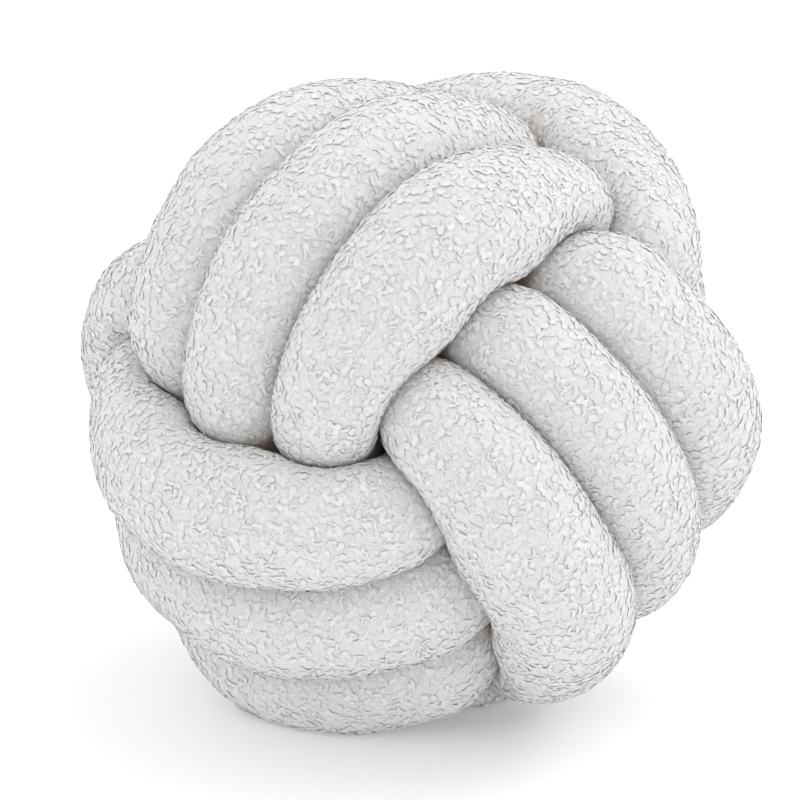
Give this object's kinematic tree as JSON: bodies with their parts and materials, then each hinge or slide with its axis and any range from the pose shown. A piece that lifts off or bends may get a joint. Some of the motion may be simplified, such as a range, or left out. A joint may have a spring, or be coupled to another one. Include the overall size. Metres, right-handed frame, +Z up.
{
  "type": "knot cushion",
  "caption": "Round decorative cushion: a long stuffed tube of teddy fabric tied round itself into a tight ball, with bands of strands crossing at right angles.",
  "frame": {"origin": "on the resting surface, under the middle of the ball's bounding box", "axes": "+Z up as the ball rests, +X to the right and +Y to the back as seen from its front"},
  "size_m": [0.2968, 0.29, 0.2736],
  "materials": {
    "teddy_fabric": "off-white boucle pile"
  },
  "bodies": {
    "root": {"knot_tube": "teddy_fabric"}
  },
  "joints": []
}
